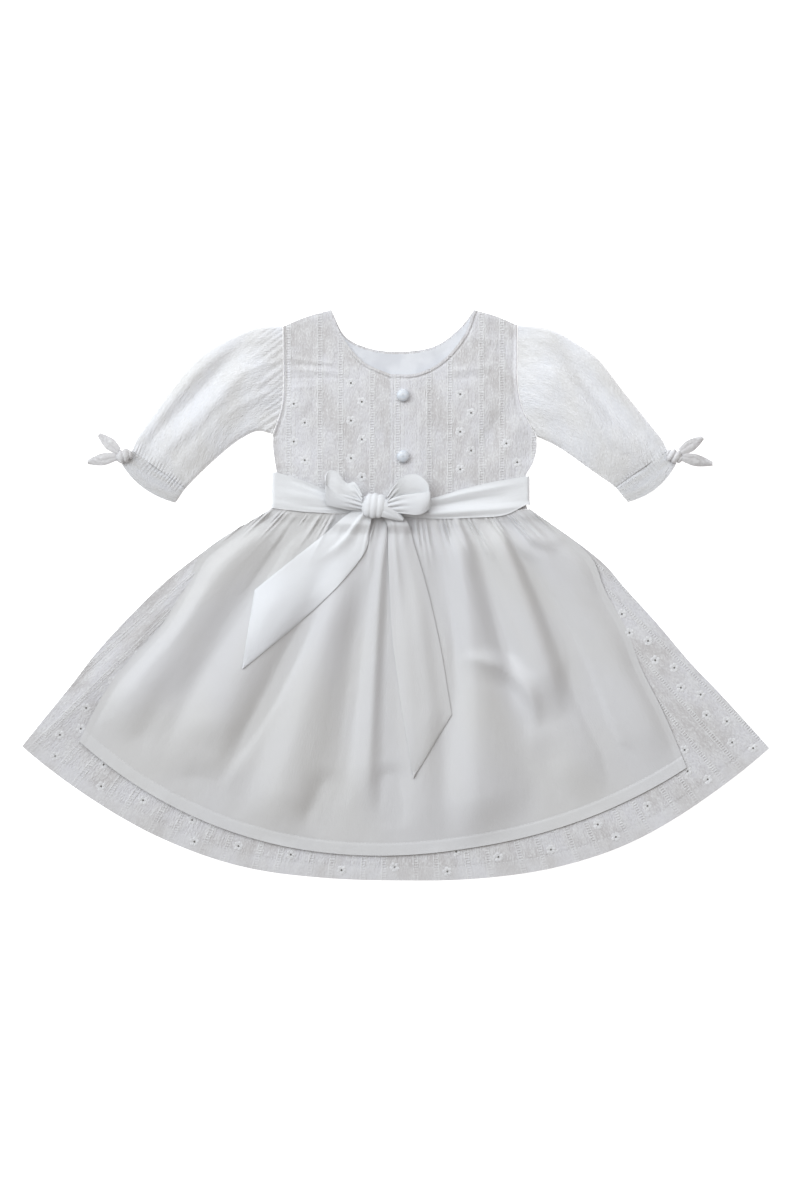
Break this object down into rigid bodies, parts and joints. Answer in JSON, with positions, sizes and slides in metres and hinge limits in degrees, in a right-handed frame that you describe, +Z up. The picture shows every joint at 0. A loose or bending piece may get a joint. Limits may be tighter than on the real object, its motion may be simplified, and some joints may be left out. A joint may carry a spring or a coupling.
{
  "type": "christening gown",
  "caption": "Baby's christening gown laid flat: eyelet bodice and skirt, puffed sleeves, gathered plain apron skirt and a sash tied in a bow.",
  "frame": {"origin": "middle of the gown's outline, at the surface it lies on", "axes": "+X across the gown towards the right as seen from above, +Y up the gown towards the neck, +Z up off the surface"},
  "size_m": [0.6866, 0.524, 0.0326],
  "materials": {
    "eyelet_cotton": "white eyelet cotton with small embroidered flowers and woven ladder stripes, matt",
    "plain_cotton": "plain white cotton sateen with a soft sheen",
    "lining_cotton": "smooth plain white cotton lawn, matt",
    "pearl_button": "domed white pearl button, glossy"
  },
  "bodies": {
    "root": {"back_bodice": "eyelet_cotton", "neck_lining": "lining_cotton", "bodice_front_left": "eyelet_cotton", "bodice_front_right": "eyelet_cotton", "skirt_back": "eyelet_cotton", "skirt_front": "eyelet_cotton", "apron": "plain_cotton", "sleeve_left": "eyelet_cotton", "sleeve_right": "eyelet_cotton", "cuff_left": "eyelet_cotton", "cuff_right": "eyelet_cotton", "cuff_knot_left": "eyelet_cotton", "cuff_tie_upper_left": "eyelet_cotton", "cuff_tie_lower_left": "eyelet_cotton", "cuff_knot_right": "eyelet_cotton", "cuff_tie_upper_right": "eyelet_cotton", "cuff_tie_lower_right": "eyelet_cotton", "button_upper": "pearl_button", "button_lower": "pearl_button", "sash_left": "plain_cotton", "sash_right": "plain_cotton", "sash_back": "plain_cotton", "bow_knot": "plain_cotton", "bow_loop_left": "plain_cotton", "bow_loop_right": "plain_cotton", "sash_tail_left": "plain_cotton", "sash_tail_right": "plain_cotton"}
  },
  "joints": []
}
